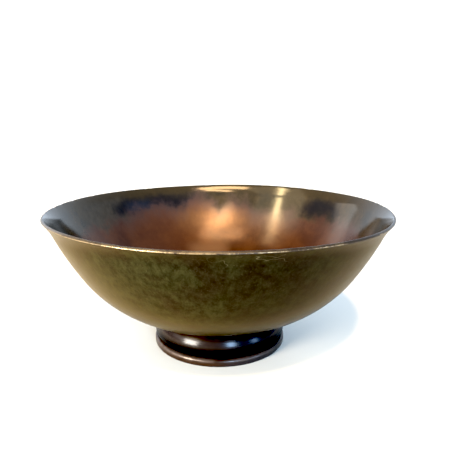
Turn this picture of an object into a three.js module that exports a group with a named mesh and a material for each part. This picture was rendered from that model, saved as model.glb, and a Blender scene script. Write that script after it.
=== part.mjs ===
// A footed copper bowl: a raised sheet bowl soldered to a hollow moulded foot, which stands on
// a solid base ring. Every piece is a body of revolution about Z. Millimetres, +Z up, with the
// origin at the centre of the base, on the table.

import * as THREE from "three";

// Driving dimensions of the bowl shell. Its outside is a chain of arcs, each tangent to the one
// before: a shallow base, a tighter belly, a nearly straight wall, and a lip that turns outwards.
// The angles are the slopes at which they end. The wall's radius follows from the rim's.
const RIM_RADIUS = 125;
const SHELL_LIFT = 16;
const BASE_ARC_RADIUS = 152;
const BASE_END_SLOPE = degrees(25);
const BELLY_ARC_RADIUS = 92;
const BELLY_END_SLOPE = degrees(57);
const WALL_END_SLOPE = degrees(66);
const LIP_ARC_RADIUS = 31;
const LIP_END_SLOPE = degrees(47);
const SHEET_THICKNESS = 1.4;
const RIM_THICKNESS = 2;
const RIM_CORNER = 0.6;

// Driving dimensions of the foot ring, a hollow cushion moulding. Each of its sides is widest at
// one height and turns in from there, by an arc above and an arc below.
const FOOT_RADIUS = 50.2;
const FOOT_WIDEST_HEIGHT = 11.8;
const FOOT_WALL = 2;
const FOOT_TOP_RADIUS = 44.6;
const FOOT_BOTTOM_RADIUS = 48;
const FOOT_LAND_WIDTH = 2.8;

// Driving dimensions of the base ring, a solid band with rounded outer edges.
const BASE_RING_RADIUS = 50.5;
const BASE_RING_BORE = 44;
const BASE_RING_HEIGHT = 5.2;
const BASE_RING_TOP_EDGE = 1.8;
const BASE_RING_BOTTOM_EDGE = 0.8;

// Solder seams, and the fitting gap that each keeps to the pieces it joins.
const SOLDER_THICKNESS = 0.4;
const SOLDER_INSET = 0.5;
const FITTING_GAP = 0.1;

// Smoothness of the curved surfaces.
const TURN_STEPS = 64;
const ARC_STEPS = 7;
const LIP_STEPS = 5;
const EDGE_STEPS = 4;

const RIGHT = 0;
const DOWN = -Math.PI / 2;
const UP = Math.PI / 2;

function degrees(value) {
  return (value * Math.PI) / 180;
}

// Point at an angle on a circle, in the (radius, height) plane of a profile.
function onCircle(centre, radius, angle) {
  return new THREE.Vector2(
    centre.x + radius * Math.cos(angle),
    centre.y + radius * Math.sin(angle),
  );
}

function arcPoints(centre, radius, start, end, steps) {
  const points = [];
  for (let i = 0; i <= steps; i += 1) {
    points.push(onCircle(centre, radius, start + ((end - start) * i) / steps));
  }
  return points;
}

// Body of revolution about Z from a closed profile, or from one that starts and ends on the axis.
function revolve(profile) {
  const geometry = new THREE.LatheGeometry(profile, TURN_STEPS);
  geometry.rotateX(UP);
  return geometry;
}

function closedLoop(points) {
  return [...points, points[0].clone()];
}

// Where the outer face of the lip meets the rim's corner.
const lipEndRadius = RIM_RADIUS - RIM_CORNER * (1 - Math.sin(LIP_END_SLOPE));

// How far an arc of radius 1 goes outwards while its slope changes.
function reach(startSlope, endSlope) {
  return Math.sin(endSlope) - Math.sin(startSlope);
}

// Centres of the shell's arcs. Those of the base, belly and wall lie inside the bowl, and the
// lip's lies outside it.
const baseCentre = new THREE.Vector2(0, SHELL_LIFT + BASE_ARC_RADIUS);
const baseEnd = onCircle(baseCentre, BASE_ARC_RADIUS, DOWN + BASE_END_SLOPE);
const bellyCentre = onCircle(baseEnd, BELLY_ARC_RADIUS, UP + BASE_END_SLOPE);
const bellyEnd = onCircle(bellyCentre, BELLY_ARC_RADIUS, DOWN + BELLY_END_SLOPE);
const lipReach = LIP_ARC_RADIUS * reach(LIP_END_SLOPE, WALL_END_SLOPE);
const wallReach = lipEndRadius - bellyEnd.x - lipReach;
const wallArcRadius = wallReach / reach(BELLY_END_SLOPE, WALL_END_SLOPE);
const wallCentre = onCircle(bellyEnd, wallArcRadius, UP + BELLY_END_SLOPE);
const wallEnd = onCircle(wallCentre, wallArcRadius, DOWN + WALL_END_SLOPE);
const lipCentre = onCircle(wallEnd, LIP_ARC_RADIUS, DOWN + WALL_END_SLOPE);

// Height of the shell's underside, which the foot is fitted to.
function shellUnderside(radius) {
  return baseCentre.y - Math.sqrt(BASE_ARC_RADIUS ** 2 - radius ** 2);
}

// One of the arcs whose centre lies inside the bowl, from slope to slope.
function hollowArc(centre, radius, startSlope, endSlope) {
  return arcPoints(centre, radius, DOWN + startSlope, DOWN + endSlope, ARC_STEPS);
}

// One face of the shell from the axis to the start of the lip, at a depth into the sheet.
function bottomAndWall(depth) {
  const base = hollowArc(baseCentre, BASE_ARC_RADIUS - depth, 0, BASE_END_SLOPE);
  const belly = hollowArc(bellyCentre, BELLY_ARC_RADIUS - depth, BASE_END_SLOPE, BELLY_END_SLOPE);
  const wall = hollowArc(wallCentre, wallArcRadius - depth, BELLY_END_SLOPE, WALL_END_SLOPE);
  base[0].x = 0;
  return [...base, ...belly.slice(1), ...wall.slice(1)];
}

// One face of the lip, at a depth into the sheet that may grow towards the rim.
function lipFace(startDepth, endDepth) {
  const points = [];
  for (let i = 1; i < LIP_STEPS; i += 1) {
    const along = i / LIP_STEPS;
    const slope = WALL_END_SLOPE + (LIP_END_SLOPE - WALL_END_SLOPE) * along;
    const depth = startDepth + (endDepth - startDepth) * along;
    points.push(onCircle(lipCentre, LIP_ARC_RADIUS + depth, UP + slope));
  }
  return points;
}

// The rim's square edge, with both corners eased, from the outside over to the inside.
function rimEdge() {
  const outerDepth = RIM_CORNER;
  const innerDepth = RIM_THICKNESS - RIM_CORNER;
  const outer = onCircle(lipCentre, LIP_ARC_RADIUS + outerDepth, UP + LIP_END_SLOPE);
  const inner = onCircle(lipCentre, LIP_ARC_RADIUS + innerDepth, UP + LIP_END_SLOPE);
  const facing = LIP_END_SLOPE;
  return [
    ...arcPoints(outer, RIM_CORNER, facing + DOWN, facing, EDGE_STEPS),
    ...arcPoints(inner, RIM_CORNER, facing, facing + UP, EDGE_STEPS),
  ];
}

function bowlShell() {
  const outside = [...bottomAndWall(0), ...lipFace(0, 0)];
  const inside = [...bottomAndWall(SHEET_THICKNESS), ...lipFace(SHEET_THICKNESS, RIM_THICKNESS)];
  return revolve([...outside, ...rimEdge(), ...inside.reverse()]);
}

// Radius of an arc that leaves a vertical tangent and comes in by one distance over a height.
function bulgeRadius(inward, height) {
  return (inward ** 2 + height ** 2) / (2 * inward);
}

// One side of the foot's wall, from its bottom edge over the widest place to its top edge.
function footSide(widest, bottom, top) {
  const lowRadius = bulgeRadius(widest - bottom.x, FOOT_WIDEST_HEIGHT - bottom.y);
  const highRadius = bulgeRadius(widest - top.x, top.y - FOOT_WIDEST_HEIGHT);
  const lowCentre = new THREE.Vector2(widest - lowRadius, FOOT_WIDEST_HEIGHT);
  const highCentre = new THREE.Vector2(widest - highRadius, FOOT_WIDEST_HEIGHT);
  const lowAngle = Math.asin((bottom.y - FOOT_WIDEST_HEIGHT) / lowRadius);
  const highAngle = Math.asin((top.y - FOOT_WIDEST_HEIGHT) / highRadius);
  return [
    ...arcPoints(lowCentre, lowRadius, lowAngle, RIGHT, ARC_STEPS),
    ...arcPoints(highCentre, highRadius, RIGHT, highAngle, ARC_STEPS).slice(1),
  ];
}

const seamThickness = SOLDER_THICKNESS + 2 * FITTING_GAP;
const footBottomHeight = BASE_RING_HEIGHT + seamThickness;

function footTop(radius) {
  return new THREE.Vector2(radius, shellUnderside(radius) - seamThickness);
}

function footRing() {
  const outerBottom = new THREE.Vector2(FOOT_BOTTOM_RADIUS, footBottomHeight);
  const innerBottom = new THREE.Vector2(
    FOOT_BOTTOM_RADIUS - FOOT_LAND_WIDTH,
    footBottomHeight,
  );
  const outerTop = footTop(FOOT_TOP_RADIUS);
  const innerTop = footTop(FOOT_TOP_RADIUS - FOOT_LAND_WIDTH);
  const outside = footSide(FOOT_RADIUS, outerBottom, outerTop);
  const inside = footSide(FOOT_RADIUS - FOOT_WALL, innerBottom, innerTop).reverse();
  return revolve(closedLoop([...outside, ...inside]));
}

function baseRing() {
  const topEdge = new THREE.Vector2(
    BASE_RING_RADIUS - BASE_RING_TOP_EDGE,
    BASE_RING_HEIGHT - BASE_RING_TOP_EDGE,
  );
  const bottomEdge = new THREE.Vector2(
    BASE_RING_RADIUS - BASE_RING_BOTTOM_EDGE,
    BASE_RING_BOTTOM_EDGE,
  );
  return revolve(
    closedLoop([
      new THREE.Vector2(BASE_RING_BORE, 0),
      ...arcPoints(bottomEdge, BASE_RING_BOTTOM_EDGE, DOWN, RIGHT, EDGE_STEPS),
      ...arcPoints(topEdge, BASE_RING_TOP_EDGE, RIGHT, UP, EDGE_STEPS),
      new THREE.Vector2(BASE_RING_BORE, BASE_RING_HEIGHT),
    ]),
  );
}

// Thin solder seam between two faces, given the height of its lower and upper face by radius.
function solderSeam(innerRadius, outerRadius, lowerFace, upperFace) {
  return revolve(
    closedLoop([
      new THREE.Vector2(innerRadius, lowerFace(innerRadius)),
      new THREE.Vector2(outerRadius, lowerFace(outerRadius)),
      new THREE.Vector2(outerRadius, upperFace(outerRadius)),
      new THREE.Vector2(innerRadius, upperFace(innerRadius)),
    ]),
  );
}

function footSolder() {
  const upperFace = (radius) => shellUnderside(radius) - FITTING_GAP;
  const lowerFace = (radius) => upperFace(radius) - SOLDER_THICKNESS;
  const outerRadius = FOOT_TOP_RADIUS - SOLDER_INSET;
  return solderSeam(FOOT_TOP_RADIUS - FOOT_LAND_WIDTH, outerRadius, lowerFace, upperFace);
}

function baseSolder() {
  const lowerFace = () => BASE_RING_HEIGHT + FITTING_GAP;
  const upperFace = () => footBottomHeight - FITTING_GAP;
  const outerRadius = FOOT_BOTTOM_RADIUS - SOLDER_INSET;
  return solderSeam(FOOT_BOTTOM_RADIUS - FOOT_LAND_WIDTH, outerRadius, lowerFace, upperFace);
}

// Heat-browned copper sheet, seen with an olive and brown patina.
function patinatedCopper() {
  return new THREE.MeshStandardMaterial({ color: 0x5c4a2a, roughness: 0.42, metalness: 0.85 });
}

// Near-black lacquered foot moulding with a red-brown cast.
function blackenedCopper() {
  return new THREE.MeshStandardMaterial({ color: 0x1c1210, roughness: 0.2, metalness: 0.6 });
}

// Base band, a shade redder than the moulding above it.
function brownedCopper() {
  return new THREE.MeshStandardMaterial({ color: 0x3c241c, roughness: 0.3, metalness: 0.6 });
}

function darkSolder() {
  return new THREE.MeshStandardMaterial({ color: 0x2a2722, roughness: 0.55, metalness: 0.7 });
}

function namedMesh(name, geometry, material) {
  const mesh = new THREE.Mesh(geometry, material);
  mesh.name = name;
  return mesh;
}

const bowl = new THREE.Group();
bowl.add(namedMesh("bowl_shell", bowlShell(), patinatedCopper()));
bowl.add(namedMesh("foot_solder", footSolder(), darkSolder()));
bowl.add(namedMesh("foot_ring", footRing(), blackenedCopper()));
bowl.add(namedMesh("base_solder", baseSolder(), darkSolder()));
bowl.add(namedMesh("base_ring", baseRing(), brownedCopper()));

export default bowl;
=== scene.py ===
import math
import random

import bpy
import numpy as np
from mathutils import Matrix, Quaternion, Vector, noise


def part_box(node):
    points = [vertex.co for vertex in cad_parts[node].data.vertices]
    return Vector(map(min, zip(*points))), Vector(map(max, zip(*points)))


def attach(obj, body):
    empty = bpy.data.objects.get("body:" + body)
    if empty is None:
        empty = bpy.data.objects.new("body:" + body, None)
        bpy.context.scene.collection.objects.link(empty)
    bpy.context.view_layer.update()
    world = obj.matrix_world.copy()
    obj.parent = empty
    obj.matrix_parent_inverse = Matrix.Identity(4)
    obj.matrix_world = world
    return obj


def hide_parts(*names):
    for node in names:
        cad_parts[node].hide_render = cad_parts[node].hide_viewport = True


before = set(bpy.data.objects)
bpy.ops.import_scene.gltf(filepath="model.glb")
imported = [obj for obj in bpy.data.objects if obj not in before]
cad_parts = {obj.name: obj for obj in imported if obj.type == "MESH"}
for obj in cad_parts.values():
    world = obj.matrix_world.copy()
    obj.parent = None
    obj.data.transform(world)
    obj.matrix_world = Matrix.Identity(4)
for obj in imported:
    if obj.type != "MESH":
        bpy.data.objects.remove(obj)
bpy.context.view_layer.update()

MM = 0.001


# ---------------------------------------------------------------- outlines of the CAD pieces

# A vertex this close to the YZ plane, on its -Y side, is a point of the outline.
ON_PLANE = 0.01 * MM
# Points are rounded to this many decimals of a metre, so that edges which meet share one point.
OUTLINE_DECIMALS = 6
# A sharper turn than this is a corner, and stays one.
CORNER = math.radians(40)
# A chord this many times longer than the next one is a straight side, and stays one.
STRAIGHT_RATIO = 3


def cad_outline(node):
    """Outline of a CAD body of revolution: (radius, height) points in order, and if it closes."""
    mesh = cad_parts[node].data
    point = {}
    for vertex in mesh.vertices:
        if abs(vertex.co.x) < ON_PLANE and vertex.co.y < ON_PLANE:
            radius = round(abs(vertex.co.y), OUTLINE_DECIMALS)
            point[vertex.index] = (radius, round(vertex.co.z, OUTLINE_DECIMALS))
    neighbours = {}
    for edge in mesh.edges:
        a, b = (point.get(index) for index in edge.vertices)
        if a and b and a != b:
            neighbours.setdefault(a, set()).add(b)
            neighbours.setdefault(b, set()).add(a)
    ends = [p for p in neighbours if len(neighbours[p]) == 1]
    start = min(ends or neighbours, key=lambda p: (p[1], p[0]))
    follow = max(neighbours[start], key=lambda p: p[0])
    outline = [start, follow]
    while True:
        onward = [p for p in neighbours[outline[-1]] if p not in outline[-2:]]
        if not onward or onward[0] == start:
            break
        outline.append(onward[0])
    return np.array(outline), not ends


def segment_tangents(points, closed):
    """Tangent at each end of each segment, smooth through gentle bends and sharp at corners."""
    count = len(points)
    last = count if closed else count - 1
    ahead = np.array([points[(i + 1) % count] - points[i] for i in range(last)])
    length = np.hypot(ahead[:, 0], ahead[:, 1])
    ahead = ahead / length[:, None]
    starts = ahead.copy()
    ends = ahead.copy()
    for i in range(0 if closed else 1, last):
        before = i - 1
        turn = math.acos(max(-1, min(1, float(ahead[before] @ ahead[i]))))
        if turn > CORNER:
            continue
        if length[i] > STRAIGHT_RATIO * length[before]:
            tangent = ahead[i]
        elif length[before] > STRAIGHT_RATIO * length[i]:
            tangent = ahead[before]
        else:
            tangent = ahead[before] * length[i] + ahead[i] * length[before]
            tangent = tangent / np.hypot(*tangent)
        starts[i] = tangent
        ends[before] = tangent
    return starts, ends, length


def smooth_outline(node, spacing):
    """The CAD outline with smooth curves through its points, no more than spacing apart."""
    points, closed = cad_outline(node)
    starts, ends, length = segment_tangents(points, closed)
    result = []
    for i, chord in enumerate(length):
        steps = max(2, math.ceil(chord / spacing))
        a, b = points[i], points[(i + 1) % len(points)]
        for t in np.arange(steps) / steps:
            result.append(
                (2 * t**3 - 3 * t**2 + 1) * a
                + (t**3 - 2 * t**2 + t) * chord * starts[i]
                + (3 * t**2 - 2 * t**3) * b
                + (t**3 - t**2) * chord * ends[i]
            )
    if not closed:
        result.append(points[-1])
    return np.array(result), closed


def outline_normals(points, closed):
    """Unit normals of an outline that runs with its solid on the left."""
    if closed:
        along = np.roll(points, -1, axis=0) - np.roll(points, 1, axis=0)
    else:
        along = np.gradient(points, axis=0)
    along = along / np.hypot(along[:, 0], along[:, 1])[:, None]
    return np.stack([along[:, 1], -along[:, 0]], axis=1)


# ---------------------------------------------------------------- meshes


def revolve(name, outline, closed, turns, displace=None):
    """Closed mesh of revolution. An outline that doesn't close runs up from axis to axis.

    displace gives the radial and the upward offsets, as arrays of (turns, points).
    """
    normals = outline_normals(outline, closed)
    if not closed:
        normals[[0, -1]] = [(0, -1), (0, 1)]
    angle = np.arange(turns) * 2 * math.pi / turns
    radius = np.tile(outline[:, 0], (turns, 1))
    height = np.tile(outline[:, 1], (turns, 1))
    if displace:
        outward, upward = displace(radius, height, angle[:, None], normals)
        radius = radius + outward
        height = height + upward
    x = radius * np.cos(angle)[:, None]
    y = radius * np.sin(angle)[:, None]
    if closed:
        return closed_ring_mesh(name, x, y, height)
    return capped_mesh(name, x, y, height)


def closed_ring_mesh(name, x, y, z):
    turns, points = x.shape
    index = np.arange(turns * points).reshape(turns, points)
    faces = ring_faces(index, np.roll(index, -1, axis=1))
    return mesh_object(name, np.stack([x, y, z], axis=2).reshape(-1, 3), faces.tolist())


def capped_mesh(name, x, y, z):
    """The first and last points of each profile meet on the axis, as one vertex each."""
    turns, points = x.shape
    inner = points - 2
    index = np.arange(turns * inner).reshape(turns, inner)
    faces = ring_faces(index[:, :-1], index[:, 1:]).tolist()
    bottom = turns * inner
    top = bottom + 1
    for i in range(turns):
        j = (i + 1) % turns
        faces.append((bottom, index[j, 0], index[i, 0]))
        faces.append((top, index[i, -1], index[j, -1]))
    rings = np.stack([x, y, z], axis=2)[:, 1:-1].reshape(-1, 3)
    poles = [(0, 0, z[:, 0].mean()), (0, 0, z[:, -1].mean())]
    return mesh_object(name, np.vstack([rings, poles]), faces)


def ring_faces(here, onward):
    """Quads between a profile's points and the next ones, all the way round."""
    next_here = np.roll(here, -1, axis=0)
    next_onward = np.roll(onward, -1, axis=0)
    return np.stack([here, next_here, next_onward, onward], axis=2).reshape(-1, 4)


def mesh_object(name, vertices, faces):
    mesh = bpy.data.meshes.new(name)
    mesh.from_pydata(vertices.tolist(), [], faces)
    mesh.validate()
    mesh.polygons.foreach_set("use_smooth", [True] * len(mesh.polygons))
    mesh.update()
    piece = bpy.data.objects.new(name, mesh)
    bpy.context.scene.collection.objects.link(piece)
    return piece


def stand_for(piece, node, material):
    """Puts a finished piece in the place of its CAD node, with its material."""
    piece.data.materials.append(material)
    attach(piece, "root")
    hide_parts(node)


# ---------------------------------------------------------------- bowl shell

SHELL_SPACING = 1.3 * MM
SHELL_TURNS = 512
PLANISH_CELL = 9 * MM
PLANISH_DEPTH = 0.03 * MM
HAND_WAVE = 0.12 * MM
HAND_WAVE_LENGTH = 45 * MM
RIM_WAVE = 0.55 * MM
RIM_WAVE_COUNT = 2
RIM_WAVE_PEAK = math.radians(55)
RIM_RIPPLE = 0.2 * MM
RIM_RIPPLE_COUNT = 5
RIM_RIPPLE_START = 1.3
RIM_ZONE = 4 * MM
NICK_COUNT = 26
NICK_DEPTH = 0.35 * MM
NICK_SHALLOWEST = 0.3
NICK_REACH = 1.4 * MM
NICK_HALF_WIDTH = math.radians(0.9)
NICK_SEED = 11

shell_low, shell_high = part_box("bowl_shell")
shell_bottom = shell_low[2]
rim_height = shell_high[2]


def planished(position):
    """Depth of the soft overlapping hammer marks at a place on the sheet."""
    nearest = noise.voronoi(position / PLANISH_CELL)[0][0]
    return PLANISH_DEPTH * (1 - min(1, nearest)) ** 2


def hand_wave(position):
    """Slow unevenness of the sheet at a place, in or out."""
    return HAND_WAVE * noise.noise(position / HAND_WAVE_LENGTH)


def rim_nicks(angle):
    """Depth of the small knocks along the rim, by angle round the bowl."""
    chance = random.Random(NICK_SEED)
    depth = np.zeros_like(angle)
    for _ in range(NICK_COUNT):
        centre = chance.uniform(-math.pi, math.pi)
        strength = NICK_DEPTH * chance.uniform(NICK_SHALLOWEST, 1)
        away = np.abs((angle - centre + math.pi) % (2 * math.pi) - math.pi)
        depth = np.maximum(depth, strength * np.exp(-((away / NICK_HALF_WIDTH) ** 2)))
    return depth


def rim_lift(angle):
    """How far the rim stands above a true circle, by angle round the bowl."""
    wave = RIM_WAVE * np.cos(RIM_WAVE_COUNT * (angle - RIM_WAVE_PEAK))
    return wave + RIM_RIPPLE * np.sin(RIM_RIPPLE_COUNT * angle + RIM_RIPPLE_START)


def shell_displacement(radius, height, angle, normals):
    """Slight hand-made unevenness, with a waved and nicked rim. Both faces move together."""
    turns, points = radius.shape
    relief = np.zeros((turns, points))
    for i in range(turns):
        cosine, sine = math.cos(angle[i, 0]), math.sin(angle[i, 0])
        for k in range(points):
            place = Vector((radius[i, k] * cosine, radius[i, k] * sine, height[i, k]))
            relief[i, k] = hand_wave(place) - planished(place)
    outer_face = np.where(normals[:, 1] < 0, 1, -1)
    fade = np.clip((rim_height - height) / RIM_ZONE, 0, 1)
    lift = np.clip((height - shell_bottom) / (rim_height - shell_bottom), 0, 1) ** 3
    nicked = np.clip(1 - (rim_height - height) / NICK_REACH, 0, 1)
    outward = relief * outer_face * normals[:, 0] * fade
    upward = relief * outer_face * normals[:, 1] * fade
    upward = upward + rim_lift(angle) * lift - rim_nicks(angle) * nicked
    return outward, upward


def build_shell():
    outline, closed = smooth_outline("bowl_shell", SHELL_SPACING)
    return revolve("bowl_shell_visual", outline, closed, SHELL_TURNS, shell_displacement)


# ---------------------------------------------------------------- foot

FOOT_SPACING = 0.4 * MM
FOOT_TURNS = 384
BEAD_RADIUS = 0.34 * MM
BEAD_RUN = 0.1 * MM
BEAD_LUMP = 3 * MM
BEAD_STEPS = 8


def build_ring(node):
    outline, closed = smooth_outline(node, FOOT_SPACING)
    return revolve(node + "_visual", outline, closed, FOOT_TURNS)


def bead_end(middle, onward):
    """Half circle round one end of a bead's section. onward is the angle that it bulges to."""
    turn = onward + np.linspace(-math.pi / 2, math.pi / 2, BEAD_STEPS)
    return middle + BEAD_RADIUS * np.stack([np.cos(turn), np.sin(turn)], axis=1)


def bead_outline(node):
    """Rounded section along the middle of a seam, thick enough to close its fitting gaps."""
    corners, _ = cad_outline(node)
    is_inner = corners[:, 0] < corners[:, 0].mean()
    inner = corners[is_inner].mean(axis=0)
    outer = corners[~is_inner].mean(axis=0)
    along = math.atan2(outer[1] - inner[1], outer[0] - inner[0])
    return np.vstack([bead_end(outer, along), bead_end(inner, along + math.pi)])


def bead_displacement(radius, height, angle, normals):
    """Solder runs out a little further in some places than in others."""
    outer_side = np.clip(normals[:, 0], 0, 1)
    around = [
        noise.noise(Vector((math.cos(a), math.sin(a), 0)) * radius.max() / BEAD_LUMP)
        for a in angle[:, 0]
    ]
    run = BEAD_RUN * np.array(around)[:, None] * outer_side
    return run, np.zeros_like(run)


def build_seam(node):
    return revolve(node + "_visual", bead_outline(node), True, FOOT_TURNS, bead_displacement)


# ---------------------------------------------------------------- materials


def direction(azimuth, elevation):
    """Unit vector at these angles, in degrees. An azimuth runs from +X towards +Y.

    So it is -90 at the bowl's front, 90 at its far wall, 180 on its left and 0 on its right.
    """
    a, e = math.radians(azimuth), math.radians(elevation)
    return Vector((math.cos(e) * math.cos(a), math.cos(e) * math.sin(a), math.sin(e)))


class Graph:
    """Short names for the shader nodes that the materials are made of."""

    def __init__(self, name):
        self.material = bpy.data.materials.new(name)
        self.material.use_nodes = True
        self.tree = self.material.node_tree
        self.shader = self.tree.nodes["Principled BSDF"]
        self.place = self.node("ShaderNodeTexCoord").outputs["Object"]

    def node(self, kind, **settings):
        """Adds a node with these settings."""
        made = self.tree.nodes.new(kind)
        for key, value in settings.items():
            setattr(made, key, value)
        return made

    def put(self, socket, value):
        """Links an input to another node's output, or sets its value."""
        if isinstance(value, bpy.types.NodeSocket):
            self.tree.links.new(value, socket)
        elif isinstance(value, tuple) and len(value) == 3 and socket.type == "RGBA":
            socket.default_value = (*value, 1)
        else:
            socket.default_value = value

    def math(self, operation, a, b=0.0, clamp=False):
        made = self.node("ShaderNodeMath", operation=operation, use_clamp=clamp)
        self.put(made.inputs[0], a)
        self.put(made.inputs[1], b)
        return made.outputs[0]

    def add(self, *terms):
        total = terms[0]
        for term in terms[1:]:
            total = self.math("ADD", total, term)
        return total

    def times(self, *factors):
        product = factors[0]
        for factor in factors[1:]:
            product = self.math("MULTIPLY", product, factor)
        return product

    def inverse(self, value):
        return self.math("SUBTRACT", 1, value)

    def step(self, value, low, high):
        """0 below low and 1 above high, with a smooth change between them."""
        made = self.node("ShaderNodeMapRange", interpolation_type="SMOOTHSTEP")
        self.put(made.inputs["Value"], value)
        self.put(made.inputs["From Min"], low)
        self.put(made.inputs["From Max"], high)
        return made.outputs[0]

    def fade(self, value, low, high):
        """1 below low and 0 above high, with a smooth change between them."""
        return self.inverse(self.step(value, low, high))

    def band(self, value, rise_from, rise_to, fall_from, fall_to):
        """Rises smoothly over the first two values and falls over the last two."""
        return self.times(self.step(value, rise_from, rise_to), self.fade(value, fall_from, fall_to))

    def span(self, value, low, high):
        """A 0 to 1 value moved to the range from low to high."""
        made = self.node("ShaderNodeMapRange")
        self.put(made.inputs["Value"], value)
        self.put(made.inputs["To Min"], low)
        self.put(made.inputs["To Max"], high)
        return made.outputs[0]

    def mix(self, factor, a, b):
        """Mix of two colours. Inputs 6 and 7 and output 2 are the node's colour sockets."""
        made = self.node("ShaderNodeMix", data_type="RGBA", clamp_factor=True)
        self.put(made.inputs[0], factor)
        self.put(made.inputs[6], a)
        self.put(made.inputs[7], b)
        return made.outputs[2]

    def stretched(self, upward, shift):
        """Place on the object, stretched along Z by a factor, for marks that run up the wall."""
        made = self.node("ShaderNodeMapping")
        self.put(made.inputs["Vector"], self.place)
        self.put(made.inputs["Location"], shift)
        self.put(made.inputs["Scale"], (1, 1, 1 / upward))
        return made.outputs[0]

    def noise(self, size, detail=4.0, rough=0.6, upward=1.0, shift=(0.0, 0.0, 0.0), warp=0.0):
        """Noise from 0 to 1 whose patches are about size across."""
        made = self.node("ShaderNodeTexNoise")
        self.put(made.inputs["Vector"], self.stretched(upward, shift))
        self.put(made.inputs["Scale"], 1 / size)
        self.put(made.inputs["Detail"], detail)
        self.put(made.inputs["Roughness"], rough)
        self.put(made.inputs["Distortion"], warp)
        return made.outputs["Fac"]

    def facing(self, azimuth, half_width):
        """1 where the bowl's wall is at an azimuth, falling to 0 at half_width degrees from it."""
        flat = self.node("ShaderNodeVectorMath", operation="MULTIPLY")
        self.put(flat.inputs[0], self.place)
        self.put(flat.inputs[1], (1, 1, 0))
        unit = self.node("ShaderNodeVectorMath", operation="NORMALIZE")
        self.put(unit.inputs[0], flat.outputs[0])
        dot = self.node("ShaderNodeVectorMath", operation="DOT_PRODUCT")
        self.put(dot.inputs[0], unit.outputs[0])
        self.put(dot.inputs[1], tuple(direction(azimuth, 0)))
        return self.step(dot.outputs["Value"], math.cos(math.radians(half_width)), 1)

    def upward_part(self, vector):
        made = self.node("ShaderNodeSeparateXYZ")
        self.put(made.inputs[0], vector)
        return made.outputs[2]

    def height(self):
        """Height above the table, in metres."""
        return self.upward_part(self.place)

    def lean(self):
        """How far the surface faces up: 1 for level ground, 0 for a wall, -1 for a ceiling."""
        return self.upward_part(self.node("ShaderNodeTexCoord").outputs["Normal"])

    def bump(self, height, distance):
        made = self.node("ShaderNodeBump")
        self.put(made.inputs["Height"], height)
        self.put(made.inputs["Distance"], distance)
        return made.outputs[0]

    def finish(self, color, rough, metal, normal=None, specular=0.5, tint=(1.0, 1.0, 1.0)):
        self.put(self.shader.inputs["Base Color"], color)
        self.put(self.shader.inputs["Roughness"], rough)
        self.put(self.shader.inputs["Metallic"], metal)
        self.put(self.shader.inputs["Specular IOR Level"], specular)
        self.put(self.shader.inputs["Specular Tint"], tint)
        if normal:
            self.put(self.shader.inputs["Normal"], normal)
        return self.material


# ---------------------------------------------------------------- outside of the shell

# Here and below, a colour is linear RGB.
GREEN_SHADE = (0.017, 0.019, 0.0145)
GREEN_LIGHT = (0.046, 0.0455, 0.025)
BROWN_SHADE = (0.017, 0.0145, 0.0138)
BROWN_LIGHT = (0.032, 0.027, 0.0205)
OUTER_FLECK = (0.11, 0.09, 0.05)
PAINTED_SHADE_RIGHT = (0.012, 0.0115, 0.0135)
PAINTED_TABLE_REFLECTION = (0.085, 0.078, 0.064)
SCRATCHED_METAL = (0.4, 0.34, 0.2)
GOLDEN_GLANCE = (0.97, 0.78, 0.52)
PAINTED_GREY_GLANCE_RIGHT = (0.82, 0.72, 0.56)
PAINTED_PALE_GLANCE = (1.0, 0.9, 0.76)
SCRATCH_WIDTH = 0.006


def outer_patina():
    """Olive and brown patina under wax: soft blotches, a fine upright mottle and a few scratches."""
    g = Graph("outer_patina")
    z = g.height()
    mottle = g.noise(4 * MM, 6, 0.7, upward=1.3)
    grain = g.noise(0.9 * MM, 3, upward=2.2)
    painted_low_reflection = g.fade(z, 27 * MM, 41 * MM)
    scratch = outer_scratches(g, z)
    color = olive_and_brown(g, z, mottle)
    color = g.mix(g.times(g.step(grain, 0.55, 0.75), 0.25), color, OUTER_FLECK)
    # Painted shade: the right side of the outside is darkened, for the shaded, cooler light that
    # falls there.
    color = g.mix(g.times(g.facing(-46, 58), 0.5), color, PAINTED_SHADE_RIGHT)
    # Painted reflection: the colour turns paler and greyer towards the bottom, for the bright table
    # reflected there.
    color = g.mix(g.times(painted_low_reflection, 0.5), color, PAINTED_TABLE_REFLECTION)
    color = g.mix(scratch, color, SCRATCHED_METAL)
    # Painted reflection colour: the tint turns from golden to greyer on the right, for the cooler
    # light there.
    tint = g.mix(g.facing(-46, 62), GOLDEN_GLANCE, PAINTED_GREY_GLANCE_RIGHT)
    # Painted reflection colour: the tint is paler towards the bottom as well.
    tint = g.mix(g.times(painted_low_reflection, 0.8), tint, PAINTED_PALE_GLANCE)
    rough = g.add(0.24, g.times(mottle, 0.14))
    relief = g.add(g.times(mottle, 0.6), g.times(grain, 0.4), g.times(scratch, -0.6))
    return g.finish(color, rough, 0.7, g.bump(relief, 0.04 * MM), specular=0.3, tint=tint)


def olive_and_brown(g, z, mottle):
    """Blotches of green and brown, browner under the rim and greener at the front left."""
    blotch = g.noise(26 * MM, 5, 0.62, upward=1.2, warp=0.5)
    streak = g.noise(2.2 * MM, upward=5)
    top_band = g.step(z, rim_height - 14 * MM, rim_height - 4 * MM)
    greener = g.add(blotch, g.times(g.facing(-122, 75), 0.12), g.times(mottle, 0.35))
    greener = g.math("SUBTRACT", greener, g.times(top_band, 0.1))
    light = g.step(g.add(g.times(mottle, 0.7), g.times(streak, 0.3)), 0.33, 0.66)
    green = g.mix(light, GREEN_SHADE, GREEN_LIGHT)
    brown = g.mix(light, BROWN_SHADE, BROWN_LIGHT)
    return g.mix(g.step(greener, 0.56, 0.86), brown, green)


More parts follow.
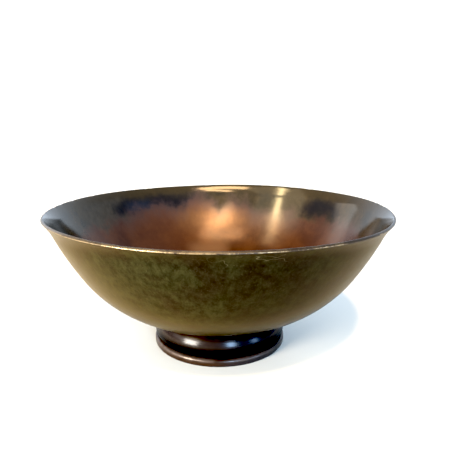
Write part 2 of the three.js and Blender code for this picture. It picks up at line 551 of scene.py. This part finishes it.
def outer_scratches(g, z):
    """Thin looping scratches, only in a patch just under the rim at the front."""
    loops = g.noise(11 * MM, 1, 0.4, upward=0.5, shift=(0.3, 0.1, 0.2))
    from_loop = g.math("ABSOLUTE", g.math("SUBTRACT", loops, 0.5))
    line = g.fade(from_loop, 0.0, SCRATCH_WIDTH)
    under_rim = g.band(
        z,
        rim_height - 10 * MM,
        rim_height - 7 * MM,
        rim_height - 4 * MM,
        rim_height - 2 * MM,
    )
    return g.times(line, under_rim, g.facing(-82, 15), 0.3)


# ---------------------------------------------------------------- inside of the shell

COPPER_SHADE = (0.068, 0.031, 0.020)
COPPER_LIGHT = (0.104, 0.044, 0.023)
COPPER_RED = (0.15, 0.056, 0.024)
COPPER_DULL = (0.048, 0.022, 0.015)
PAINTED_COPPER_GLOW = (0.19, 0.085, 0.032)
COPPER_PALE = (0.21, 0.105, 0.052)
OLIVE_SHADE = (0.030, 0.025, 0.017)
OLIVE_LIGHT = (0.050, 0.036, 0.020)
OLIVE_GREY = (0.066, 0.054, 0.040)
OLIVE_TAN = (0.070, 0.050, 0.026)
OLIVE_DARK = (0.022, 0.017, 0.012)
BLUE_BLACK = (0.015, 0.0135, 0.0145)
STEEL_BLUE = (0.026, 0.028, 0.036)
LIP_BROWN = (0.036, 0.026, 0.014)
HAZE_MAUVE = (0.078, 0.051, 0.044)
INNER_FLECK = (0.12, 0.085, 0.05)
WARM_WAX = (1.0, 0.93, 0.84)


def inner_patina():
    """Copper-red heat colour in the bowl, olive to blue-black above a ragged, hazy border."""
    g = Graph("inner_patina")
    z = g.height()
    tongues = g.noise(17 * MM, 5, upward=1.25, warp=0.3)
    wisps = g.noise(4 * MM, 5, 0.65, upward=1.4)
    cloud = g.noise(30 * MM, shift=(0.1, 0.0, 0.3))
    grain = g.noise(0.8 * MM, 3, upward=2)
    level = border_level(g, z, tongues, wisps)
    above = g.step(level, 73 * MM, 85 * MM)
    below = g.inverse(above)
    color = g.mix(above, copper_zone(g, z, tongues, wisps), olive_zone(g, z, wisps, cloud))
    color = g.mix(border_haze(g, level, cloud), color, HAZE_MAUVE)
    color = g.mix(g.times(g.step(grain, 0.6, 0.8), 0.15), color, INNER_FLECK)
    rough = g.add(0.09, g.times(below, 0.10), g.times(wisps, 0.06))
    deep = g.times(g.fade(z, 57 * MM, 80 * MM), g.facing(70, 60))
    metal = g.add(0.06, g.times(below, 0.2, g.span(deep, 1.0, 0.1)))
    specular = g.times(g.span(below, 0.42, 0.6), g.span(deep, 1.0, 0.25))
    relief = g.add(g.times(wisps, 0.5), g.times(grain, 0.4))
    return g.finish(color, rough, metal, g.bump(relief, 0.015 * MM), specular, WARM_WAX)


def border_level(g, z, tongues, wisps):
    """Height, made uneven so that the border reaches up in tongues of copper."""
    ragged = g.add(z, g.span(tongues, -13 * MM, 13 * MM), g.span(wisps, -4 * MM, 4 * MM))
    reach = g.add(
        g.times(g.facing(112, 30), 6 * MM),
        g.times(g.facing(99, 9), 9 * MM),
        g.times(g.facing(81, 9), 8 * MM),
    )
    return g.math("SUBTRACT", ragged, reach)


def border_haze(g, level, cloud):
    """Strength of the mauve haze along the border, which leaves both ends of the far wall clear."""
    clear = g.math("ADD", g.facing(172, 36), g.times(g.facing(37, 15), 0.8), clamp=True)
    along = g.band(level, 62 * MM, 80 * MM, 78 * MM, 91 * MM)
    return g.times(along, g.inverse(clear), g.span(cloud, 0.1, 0.8))


def copper_zone(g, z, tongues, wisps):
    """Copper-red, redder on the left, with a painted golden glow in streaks over a paler pool on the
    far wall.
    """
    streak = g.noise(7 * MM, upward=3)
    color = g.mix(g.step(tongues, 0.35, 0.65), COPPER_SHADE, COPPER_LIGHT)
    color = g.mix(g.times(g.facing(117, 30), 0.45), color, COPPER_RED)
    color = g.mix(g.times(wisps, 0.5), color, COPPER_DULL)
    # Painted highlight: brighter gold in a band on the far wall, broken into streaks, where the
    # lamp's glow reflects.
    painted_glow_band = g.band(z, 58 * MM, 72 * MM, 76 * MM, 90 * MM)
    color = g.mix(g.times(g.facing(94, 24), painted_glow_band, streak), color, PAINTED_COPPER_GLOW)
    pool = g.fade(z, 47 * MM, 57 * MM)
    return g.mix(g.times(g.facing(97, 16), pool, 0.8), color, COPPER_PALE)


def olive_zone(g, z, wisps, cloud):
    """Olive and brown with dark wisps, blue-black clouds, a steel-blue gleam and a brown lip."""
    color = g.mix(g.step(cloud, 0.4, 0.6), OLIVE_SHADE, OLIVE_LIGHT)
    color = g.mix(g.times(g.facing(150, 17), 0.8), color, OLIVE_GREY)
    color = g.mix(g.times(g.facing(50, 12), 0.5), color, OLIVE_TAN)
    color = g.mix(g.times(g.step(wisps, 0.3, 0.8), 0.4), color, OLIVE_DARK)
    color = g.mix(blue_black_clouds(g, z, wisps), color, BLUE_BLACK)
    gleam = g.band(z, 82 * MM, 88 * MM, 90 * MM, 97 * MM)
    color = g.mix(g.times(g.facing(131, 9), gleam, 0.6), color, STEEL_BLUE)
    lip = g.step(z, rim_height - 9 * MM, rim_height - 3 * MM)
    return g.mix(g.times(lip, 0.7), color, LIP_BROWN)


def blue_black_clouds(g, z, wisps):
    """Cloudy dark patches on the far wall, two left of the middle and one right of it."""
    drift = g.noise(13 * MM, 3, 0.55, shift=(0.2, 0.4, 0.0))
    drifting = g.add(z, g.span(drift, -9 * MM, 9 * MM))
    high_up = g.band(drifting, 74 * MM, 89 * MM, 89 * MM, 103 * MM)
    places = g.add(g.facing(129, 21), g.times(g.facing(109, 12), 0.7), g.times(g.facing(36, 15), 0.8))
    ragged = g.step(g.add(places, g.times(wisps, 0.35), g.times(drift, 0.5)), 0.4, 1.25)
    return g.times(high_up, ragged, 0.95)


# ---------------------------------------------------------------- rim, foot and solder

RIM_PATINA = (0.03, 0.02, 0.012)
RIM_BARE = (0.40, 0.29, 0.16)
FOOT_PAINTED_SHADE = (0.003, 0.002, 0.002)
FOOT_SHADE = (0.006, 0.0045, 0.0035)
FOOT_BROWN = (0.028, 0.016, 0.011)
FOOT_PAINTED_BLUE = (0.002, 0.003, 0.006)
BASE_SHADE = (0.020, 0.010, 0.005)
BASE_BROWN = (0.036, 0.018, 0.010)
BASE_PAINTED_COOL = (0.020, 0.018, 0.018)
BASE_RUBBED_AND_HIGHLIGHT = (0.17, 0.125, 0.10)
SOLDER_SHADE = (0.006, 0.005, 0.004)
SOLDER_GREY = (0.022, 0.019, 0.016)


def rim_metal():
    """Patina rubbed through to pale metal along the rim, in patches, and more on the front left as a
    painted highlight.
    """
    g = Graph("rim_metal")
    patches = g.noise(13 * MM, 4, 0.7)
    rub = g.noise(1.6 * MM, 4, 0.65)
    corner = g.band(g.lean(), -0.5, 0.1, 0.35, 0.62)
    # Partly painted highlight: real wear in patches and at the corners, pushed towards the front left
    # where the rim catches the light.
    wear_and_glint = g.add(patches, g.times(rub, 0.7), g.times(g.facing(-122, 70), 0.16))
    wear_and_glint = g.times(g.step(wear_and_glint, 0.82, 1.1), g.span(corner, 0.12, 1.0))
    color = g.mix(wear_and_glint, RIM_PATINA, RIM_BARE)
    rough = g.span(wear_and_glint, 0.35, 0.28)
    metal = g.span(wear_and_glint, 0.2, 0.95)
    return g.finish(color, rough, metal, g.bump(rub, 0.06 * MM), specular=0.4)


def foot_lacquer():
    """Glossy black-brown, with faint turning marks; painted shade makes it near-black and duller
    below, and a painted blue reflection cools its right side.
    """
    g = Graph("foot_lacquer")
    cloud = g.noise(12 * MM)
    grain = g.noise(0.7 * MM, 3)
    turning = g.noise(0.5 * MM, 3, upward=0.02)
    # Painted shade: the lower part of the foot turns near-black and the upper part a lit brown, as
    # the light falls on it.
    painted_lit_upper = g.step(g.height(), 10.5 * MM, 16 * MM)
    # Painted reflection: the right side turns a cool blue-black, for the blue windows on that side.
    painted_blue_side = g.facing(-50, 42)
    brown = g.mix(cloud, FOOT_SHADE, FOOT_BROWN)
    brown = g.mix(g.times(painted_blue_side, 0.85), brown, FOOT_PAINTED_BLUE)
    color = g.mix(painted_lit_upper, FOOT_PAINTED_SHADE, brown)
    rough = g.add(0.15, g.times(cloud, 0.1), g.times(g.inverse(painted_lit_upper), 0.1))
    specular = g.times(g.span(painted_lit_upper, 0.05, 0.32), g.span(painted_blue_side, 1.0, 0.7))
    relief = g.add(g.times(turning, 0.5), g.times(grain, 0.5))
    return g.finish(color, rough, 0.0, g.bump(relief, 0.01 * MM), specular)


def base_brown():
    """Red-brown band with a painted highlight of rubbed metal along its upper edge on the left, and
    painted shade greyer on the right.
    """
    g = Graph("base_brown")
    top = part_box("base_ring")[1][2]
    cloud = g.noise(9 * MM)
    rub = g.noise(4 * MM, 2, 0.5)
    rubbed = g.step(g.add(cloud, g.times(rub, 0.5)), 0.4, 0.85)
    upper_edge = g.step(g.height(), top - 2.8 * MM, top - 0.8 * MM)
    # Painted highlight: the rubbed upper edge shows mostly where the windows reflect, on the left and
    # a little right of the middle.
    highlight_sides = g.add(0.03, g.times(g.facing(-130, 44), 0.75), g.times(g.facing(-60, 30), 0.3))
    edge = g.math("MULTIPLY", g.times(upper_edge, rubbed), highlight_sides, clamp=True)
    color = g.mix(cloud, BASE_SHADE, BASE_BROWN)
    # Painted shade: greyer and cooler on the right side.
    color = g.mix(g.times(g.facing(-52, 46), 0.8), color, BASE_PAINTED_COOL)
    color = g.mix(edge, color, BASE_RUBBED_AND_HIGHLIGHT)
    rough = g.add(0.26, g.times(rub, 0.06))
    metal = g.times(edge, 0.6)
    return g.finish(color, rough, metal, g.bump(rub, 0.01 * MM), g.span(edge, 0.25, 0.5))


def dull_solder():
    """Darkened tin-grey solder with a lumpy skin."""
    g = Graph("dull_solder")
    lump = g.noise(2.2 * MM)
    grain = g.noise(0.5 * MM, 3)
    color = g.mix(g.step(lump, 0.4, 0.65), SOLDER_SHADE, SOLDER_GREY)
    rough = g.add(0.5, g.times(grain, 0.25))
    relief = g.add(lump, g.times(grain, 0.3))
    return g.finish(color, rough, 0.4, g.bump(relief, 0.05 * MM), specular=0.25)


# ---------------------------------------------------------------- floor and lights

FLOOR_HALF_SIZE = 3.0
FLOOR_COLOR = (0.87, 0.82, 0.715)
FLOOR_ROUGHNESS = 0.6

ROOM_COLOR = (0.84, 0.98, 1.16)
ROOM_STRENGTH = 0.85
ROOM_BACK_STRENGTH = 1.75
# The room brightens between these two values of a direction's part towards +Y.
ROOM_BACK_FROM = 0.25
ROOM_BACK_FULL = 0.95

KEY_AIM = (-91.5, 57.5)
KEY_SIZE = math.radians(4)
KEY_STRENGTH = 2.1

# Each window is this far, in metres, from the place on the bowl that it is described from.
WINDOW_DISTANCE = 2.2
FOOT_FRONT = Vector((0, -45 * MM, 18 * MM))
FAR_WALL = Vector((20 * MM, 110 * MM, 80 * MM))

WHITE_WARM = (1.0, 0.93, 0.84)
WHITE_BOUNCED = (1.0, 0.9, 0.84)
WHITE_BACK = (1.0, 0.97, 0.94)
BLUE_WINDOW = (0.42, 0.66, 1.0)
BLUE_SIDE = (0.4, 0.62, 1.0)
AMBER = (1.0, 0.68, 0.36)
AMBER_HALO = (1.0, 0.7, 0.42)
AMBER_KEY = (1.0, 0.69, 0.38)
GOLD = (1.0, 0.82, 0.46)
GOLD_GLOW = (1.0, 0.87, 0.62)


def build_floor():
    size = FLOOR_HALF_SIZE
    vertices = np.array([(-size, -size, 0), (size, -size, 0), (size, size, 0), (-size, size, 0)])
    floor = mesh_object("floor", vertices, [(0, 1, 2, 3)])
    floor.data.materials.append(Graph("floor_pale").finish(FLOOR_COLOR, FLOOR_ROUGHNESS, 0.0))


def aimed(light, towards, roll=0):
    """Puts a light in the scene, shining along a direction and rolled about it by degrees."""
    lamp = bpy.data.objects.new(light.name, light)
    turn = towards.to_track_quat("-Z", "Y") @ Quaternion((0, 0, 1), math.radians(roll))
    lamp.rotation_euler = turn.to_euler()
    bpy.context.scene.collection.objects.link(lamp)
    return lamp


def window(name, target, aim, size, radiance, color, roll=0, gloss_only=False):
    """Soft rectangular light, described as it is seen from target, in degrees.

    aim is its azimuth and elevation, size its width and height, and roll its tilt. A
    gloss_only one shows in reflections and doesn't light matt surfaces.
    """
    light = bpy.data.lights.new(name, "AREA")
    light.shape = "RECTANGLE"
    light.size = 2 * WINDOW_DISTANCE * math.tan(math.radians(size[0] / 2))
    light.size_y = 2 * WINDOW_DISTANCE * math.tan(math.radians(size[1] / 2))
    light.energy = radiance * math.pi * light.size * light.size_y
    light.color = color
    outward = direction(*aim)
    lamp = aimed(light, -outward, roll)
    lamp.location = target + outward * WINDOW_DISTANCE
    lamp.visible_diffuse = not gloss_only


def foot_windows():
    """Three windows that make the foot's highlights, and a pale wall on the left."""
    window("window_left", FOOT_FRONT, (-140, 13), (21, 26), 46, WHITE_WARM)
    window("window_right", FOOT_FRONT, (-70.6, 15), (12, 26), 40, BLUE_WINDOW)
    window("window_side", FOOT_FRONT, (-29, 11), (10, 20), 18, BLUE_SIDE)
    window("wall_left", FOOT_FRONT, (-160, 20), (34, 18), 2, WHITE_BOUNCED, gloss_only=True)


def far_wall_lamps():
    """Lamps and walls that show in the bowl's far wall.

    They make a strip under the rim, a slanting glow in a wide halo, a narrow upright streak
    in a warm wall, and a soft gleam from behind.
    """
    window("lamp_high", FAR_WALL, (-96, 60.5), (27, 10), 35, AMBER, 4, gloss_only=True)
    window("lamp_glow", FAR_WALL, (-91, 50), (18, 5), 39, AMBER, 22, gloss_only=True)
    window("lamp_halo", FAR_WALL, (-95, 46), (36, 26), 0.5, AMBER_HALO, gloss_only=True)
    window("window_tall", FAR_WALL, (-152, 46.5), (4.4, 26), 38, GOLD, 24.6, gloss_only=True)
    window("wall_glow", FAR_WALL, (-149, 44), (36, 34), 1.8, GOLD_GLOW)
    window("window_back", FAR_WALL, (148, 19), (22, 13), 2.3, WHITE_BACK)


def key_light():
    """Distant warm light that throws the bowl's crisp shadow, not seen in reflections."""
    light = bpy.data.lights.new("key_light", "SUN")
    light.angle = KEY_SIZE
    light.energy = KEY_STRENGTH
    light.color = AMBER_KEY
    lamp = aimed(light, -direction(*KEY_AIM))
    lamp.visible_glossy = False


def build_world():
    """Pale room, brighter behind the bowl (towards +Y) than overhead and on the viewer's side."""
    world = bpy.data.worlds.new("room")
    world.use_nodes = True
    bpy.context.scene.world = world
    tree = world.node_tree
    background = tree.nodes["Background"]
    background.inputs["Color"].default_value = (*ROOM_COLOR, 1)
    place = tree.nodes.new("ShaderNodeTexCoord")
    split = tree.nodes.new("ShaderNodeSeparateXYZ")
    tree.links.new(place.outputs["Generated"], split.inputs[0])
    ramp = tree.nodes.new("ShaderNodeMapRange")
    ramp.interpolation_type = "SMOOTHSTEP"
    ramp.inputs["From Min"].default_value = ROOM_BACK_FROM
    ramp.inputs["From Max"].default_value = ROOM_BACK_FULL
    ramp.inputs["To Min"].default_value = ROOM_STRENGTH
    ramp.inputs["To Max"].default_value = ROOM_BACK_STRENGTH
    tree.links.new(split.outputs[1], ramp.inputs["Value"])
    tree.links.new(ramp.outputs[0], background.inputs["Strength"])


# ---------------------------------------------------------------- camera and tone

# The sensor's width and the lens are in millimetres.
CAMERA_SENSOR = 36
CAMERA_LENS = 36
CAMERA_PLACE = (0, -334.6 * MM, 164.4 * MM)
CAMERA_DOWN = math.radians(12.664)
CAMERA_TURN = math.radians(-0.87)
CAMERA_LEVEL = math.radians(90)
BLACK_LEVEL = 0.045


def build_camera():
    camera_data = bpy.data.cameras.new("camera")
    camera_data.sensor_width = CAMERA_SENSOR
    camera_data.lens = CAMERA_LENS
    camera = bpy.data.objects.new("camera", camera_data)
    camera.location = CAMERA_PLACE
    camera.rotation_euler = (CAMERA_LEVEL - CAMERA_DOWN, 0, CAMERA_TURN)
    bpy.context.scene.collection.objects.link(camera)
    bpy.context.scene.camera = camera


def set_tone():
    """Plain tone curve with deep blacks, as in a contrasty photograph."""
    settings = bpy.context.scene.view_settings
    settings.view_transform = "Standard"
    settings.use_curve_mapping = True
    settings.curve_mapping.black_level = (BLACK_LEVEL, BLACK_LEVEL, BLACK_LEVEL)


# ---------------------------------------------------------------- the whole scene

OUTSIDE_SLOT = 0
INSIDE_SLOT = 1
RIM_SLOT = 2
RIM_DEPTH = 3 * MM
OUTER_SIDE_UPWARD = -0.5
INNER_SIDE_OUTWARD = -0.6


def shell_slot(face):
    """Material slot of one mesh face.

    Near the rim, the sheet's outer side is known by how far it faces down, and its inner side
    by how far it faces the axis. The edge between them is the rim.
    """
    outward = Vector((face.center.x, face.center.y, 0)).normalized()
    near_rim = face.center.z > rim_height - RIM_DEPTH
    outer_side = face.normal.z <= OUTER_SIDE_UPWARD
    inner_side = face.normal.dot(outward) <= INNER_SIDE_OUTWARD
    if near_rim and not outer_side and not inner_side:
        return RIM_SLOT
    return INSIDE_SLOT if face.normal.z > 0 else OUTSIDE_SLOT


def finish_shell(shell):
    stand_for(shell, "bowl_shell", outer_patina())
    shell.data.materials.append(inner_patina())
    shell.data.materials.append(rim_metal())
    for face in shell.data.polygons:
        face.material_index = shell_slot(face)


def main():
    finish_shell(build_shell())
    stand_for(build_ring("foot_ring"), "foot_ring", foot_lacquer())
    stand_for(build_ring("base_ring"), "base_ring", base_brown())
    solder = dull_solder()
    stand_for(build_seam("foot_solder"), "foot_solder", solder)
    stand_for(build_seam("base_solder"), "base_solder", solder)
    build_floor()
    build_world()
    foot_windows()
    far_wall_lamps()
    key_light()
    build_camera()
    set_tone()


main()
